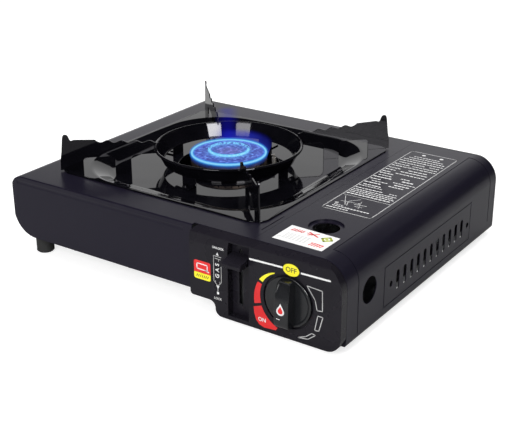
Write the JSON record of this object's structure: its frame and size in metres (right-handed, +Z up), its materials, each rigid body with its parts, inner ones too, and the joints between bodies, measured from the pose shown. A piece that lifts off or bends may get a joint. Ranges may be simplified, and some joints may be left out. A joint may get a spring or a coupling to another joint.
{
  "type": "portable butane stove",
  "caption": "Flat portable gas stove: pressed steel housing, glossy tray with ring and pan supports, front knob and lock lever, hinged lid over a cartridge bay.",
  "frame": {"origin": "on the table, under the middle of the box round the whole stove", "axes": "+X towards the cartridge side, -Y towards the user and the knob, +Z up"},
  "size_m": [0.343, 0.2934, 0.1086],
  "materials": {
    "body_enamel": "dark satin enamel",
    "zinc_sheet": "plain zinc-plated sheet",
    "panel_plastic": "moulded, fine grain",
    "knob_plastic": "moulded, soft gloss",
    "black_enamel": "glossy black enamel",
    "burner_casting": "as cast",
    "burner_cap_metal": "heat-darkened",
    "valve_casting": "die cast",
    "brass_parts": "plain",
    "seal_rubber": "black",
    "foot_rubber": "black",
    "igniter_plastic": "natural white",
    "lead_sleeve": "red sleeve",
    "electrode_ceramic": "glazed white ceramic",
    "cam_plastic": "natural acetal",
    "plated_steel": "bright plated"
  },
  "bodies": {
    "housing": {"body_shell": "body_enamel", "base_pan": "zinc_sheet", "front_panel": "panel_plastic", "front_bulkhead": "zinc_sheet", "partition_wall": "zinc_sheet", "heat_panel": "zinc_sheet", "burner_base": "burner_casting", "burner_cap": "burner_cap_metal", "inner_cap": "burner_cap_metal", "mixing_tube": "burner_casting", "burner_bracket": "zinc_sheet", "regulator_body": "valve_casting", "diaphragm_cap": "valve_casting", "cartridge_socket": "valve_casting", "socket_seal": "seal_rubber", "gas_pipe": "brass_parts", "jet_nozzle": "brass_parts", "igniter_body": "igniter_plastic", "igniter_lead": "lead_sleeve", "electrode": "electrode_ceramic", "electrode_bracket": "zinc_sheet", "cartridge_saddles": "zinc_sheet", "slider_guides": "zinc_sheet", "crank_pivot": "plated_steel", "lid_hinge_pins": "plated_steel", "tall_feet": "foot_rubber", "short_feet": "foot_rubber", "panel_screws": "plated_steel", "base_screws": "plated_steel", "regulator_screws": "plated_steel"},
    "lid": {"lid_shell": "body_enamel", "lid_hinge_lugs": "body_enamel"},
    "knob_unit": {"knob": "knob_plastic", "valve_spindle": "brass_parts", "igniter_cam": "cam_plastic"},
    "plunger": {"igniter_plunger": "plated_steel"},
    "lever": {"lever_handle": "panel_plastic", "lever_slider": "plated_steel"},
    "crank": {"lever_crank": "plated_steel"},
    "carriage": {"push_arm": "plated_steel", "push_plate": "plated_steel"},
    "pan_support": {"drip_tray": "black_enamel", "pan_ring": "black_enamel", "fin_front_left": "black_enamel", "fin_front_right": "black_enamel", "fin_back_right": "black_enamel", "fin_back_left": "black_enamel", "tray_rivets": "black_enamel"}
  },
  "joints": [
    {"name": "lid_hinge", "type": "hinge", "parent": "housing", "child": "lid", "pos_m": [0.1665, 0, 0.0095], "axis": [0, 1, 0], "range_deg": [0, 90]},
    {"name": "knob_turn", "type": "hinge", "parent": "housing", "child": "knob_unit", "pos_m": [0.125, -0.13135, 0.035], "axis": [0, -1, 0], "range_deg": [0, 150]},
    {"name": "plunger_slide", "type": "slide", "parent": "housing", "child": "plunger", "axis": [0, 0, 1], "range_m": [0, 0.00401]},
    {"name": "lever_slide", "type": "slide", "parent": "housing", "child": "lever", "axis": [0, 0, -1], "range_m": [0, 0.036]},
    {"name": "crank_turn", "type": "hinge", "parent": "housing", "child": "crank", "pos_m": [0.08335, -0.08335, 0.039], "axis": [1, 0, 0], "range_deg": [0, 62]},
    {"name": "carriage_slide", "type": "slide", "parent": "housing", "child": "carriage", "axis": [0, -1, 0], "range_m": [0, 0.01201]},
    {"name": "tray_lift", "type": "slide", "parent": "housing", "child": "pan_support", "axis": [0, 0, 1], "range_m": [0, 0.06]}
  ],
  "couplings": [
    {"joint": "plunger_slide", "follows": "knob_turn", "m_per_rad": 0.0015279},
    {"joint": "crank_turn", "follows": "lever_slide", "rad_per_m": 30.023},
    {"joint": "carriage_slide", "follows": "lever_slide", "ratio": 0.33333}
  ]
}
